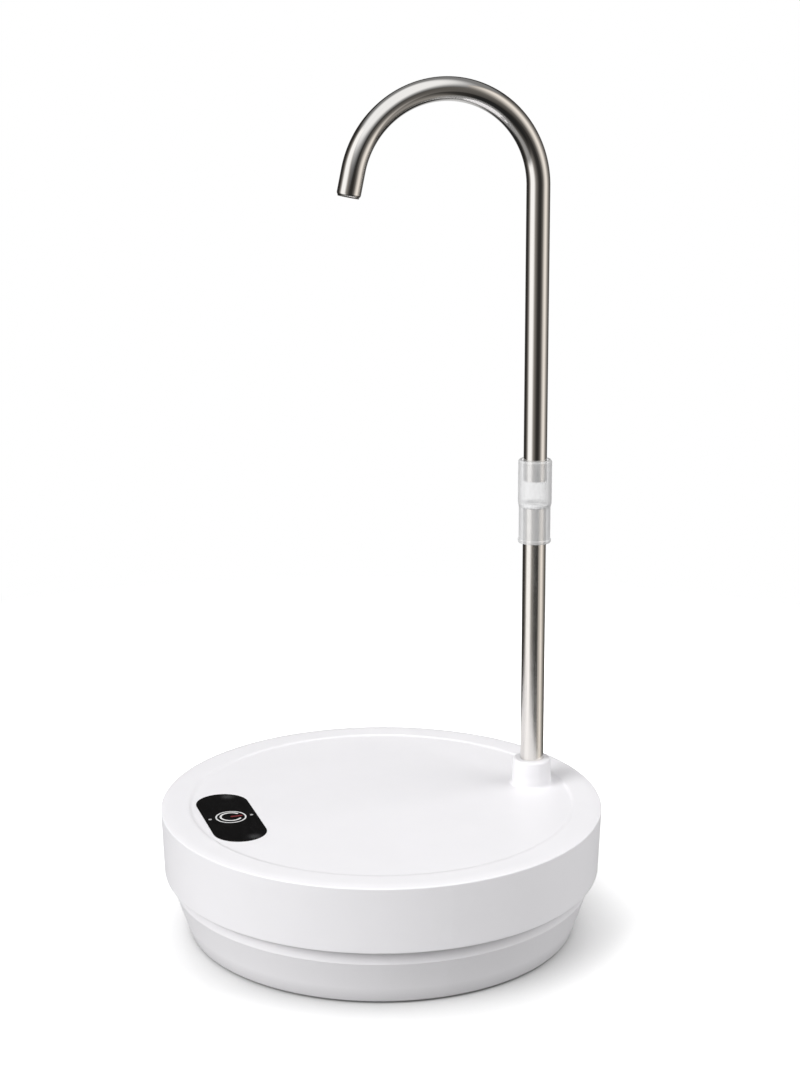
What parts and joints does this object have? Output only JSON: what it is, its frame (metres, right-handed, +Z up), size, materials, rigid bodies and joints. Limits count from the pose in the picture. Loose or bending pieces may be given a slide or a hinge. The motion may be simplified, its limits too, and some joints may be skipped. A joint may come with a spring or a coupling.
{
  "type": "electric water jug pump",
  "caption": "Countertop water dispenser: round white base with a cup tray and black button panel, and a steel gooseneck spout joined by a silicone sleeve, fed by a pump inside the base.",
  "frame": {"origin": "centre of the base on the table", "axes": "+Z up; +Y from the button panel to the tube; the spout hangs over the tray towards -Y"},
  "size_m": [0.15, 0.15, 0.2869],
  "materials": {
    "white_shell": "satin white",
    "foot_rubber": "matt",
    "screw_steel": "zinc plated",
    "seal_rubber": "matt",
    "black_gloss": "polished black",
    "ring_white": "translucent white",
    "clear_silicone": "milky silicone",
    "board_green": "solder mask",
    "switch_grey": "moulded",
    "socket_steel": "bright",
    "inner_plastic": "natural",
    "polished_steel": "polished stainless",
    "cell_wrap": "shrink wrap",
    "contact_brass": "plated",
    "magnet_grey": "ferrite",
    "black_plastic": "moulded",
    "bush_brass": "sintered bronze",
    "rotor_steel": "laminated, wound",
    "flap_rubber": "soft"
  },
  "bodies": {
    "base": {"upper_cover": "white_shell", "lower_shell": "white_shell", "rubber_feet": "foot_rubber", "screws": "screw_steel", "seam_gasket": "seal_rubber", "button_panel": "black_gloss", "light_ring": "ring_white", "indicator_lenses": "ring_white", "button_dome": "clear_silicone", "control_board": "board_green", "push_switch": "switch_grey", "status_lamps": "ring_white", "charge_board": "board_green", "charge_socket": "socket_steel", "tube_socket": "inner_plastic", "tube_seal": "seal_rubber", "cell": "cell_wrap", "cell_contacts": "contact_brass", "cell_strap": "inner_plastic", "motor_can": "screw_steel", "motor_magnets": "magnet_grey", "motor_end_cap": "black_plastic", "motor_terminals": "contact_brass", "motor_bushings": "bush_brass", "pump_case": "black_plastic", "diaphragm": "seal_rubber", "valve_plate": "inner_plastic", "valve_flaps": "flap_rubber", "pump_head": "inner_plastic", "pump_screws": "screw_steel", "pump_grommets": "seal_rubber", "outlet_hose": "clear_silicone", "inlet_hose": "clear_silicone", "hose_clips": "socket_steel", "inlet_fitting": "inner_plastic", "inlet_nut": "black_plastic"},
    "tube": {"lower_tube": "polished_steel"},
    "sleeve": {"silicone_sleeve": "clear_silicone"},
    "spout": {"spout": "polished_steel"},
    "button": {"button_cap": "black_gloss"},
    "rotor": {"motor_rotor": "rotor_steel", "drive_hub": "inner_plastic", "drive_pin": "screw_steel"},
    "wobbler": {"wobble_plate": "inner_plastic"}
  },
  "joints": [
    {"name": "tube_lift", "type": "slide", "parent": "base", "child": "tube", "axis": [0, 0, 1], "range_m": [0, 0.02]},
    {"name": "sleeve_turn", "type": "hinge", "parent": "tube", "child": "sleeve", "pos_m": [0, 0.055, 0.14], "axis": [0, 0, 1], "range_deg": [-120, 120]},
    {"name": "spout_lift", "type": "slide", "parent": "sleeve", "child": "spout", "axis": [0, 0, 1], "range_m": [0, 0.006]},
    {"name": "button_press", "type": "slide", "parent": "base", "child": "button", "axis": [0, 0, -1], "range_m": [0, 0.0006], "stiffness_N_per_m": 1500, "springref_m": -0.0004, "deforming": ["button_dome"]},
    {"name": "motor_turn", "type": "hinge", "parent": "base", "child": "rotor", "pos_m": [-0.008, -0.025, 0.0184], "axis": [0, 1, 0], "continuous": true, "deforming": ["diaphragm"]},
    {"name": "plate_turn", "type": "hinge", "parent": "rotor", "child": "wobbler", "pos_m": [-0.008, 0.0056, 0.0184], "axis": [0, 0.9962, 0.0872], "continuous": true}
  ],
  "couplings": [
    {"joint": "plate_turn", "follows": "motor_turn", "ratio": -1}
  ]
}
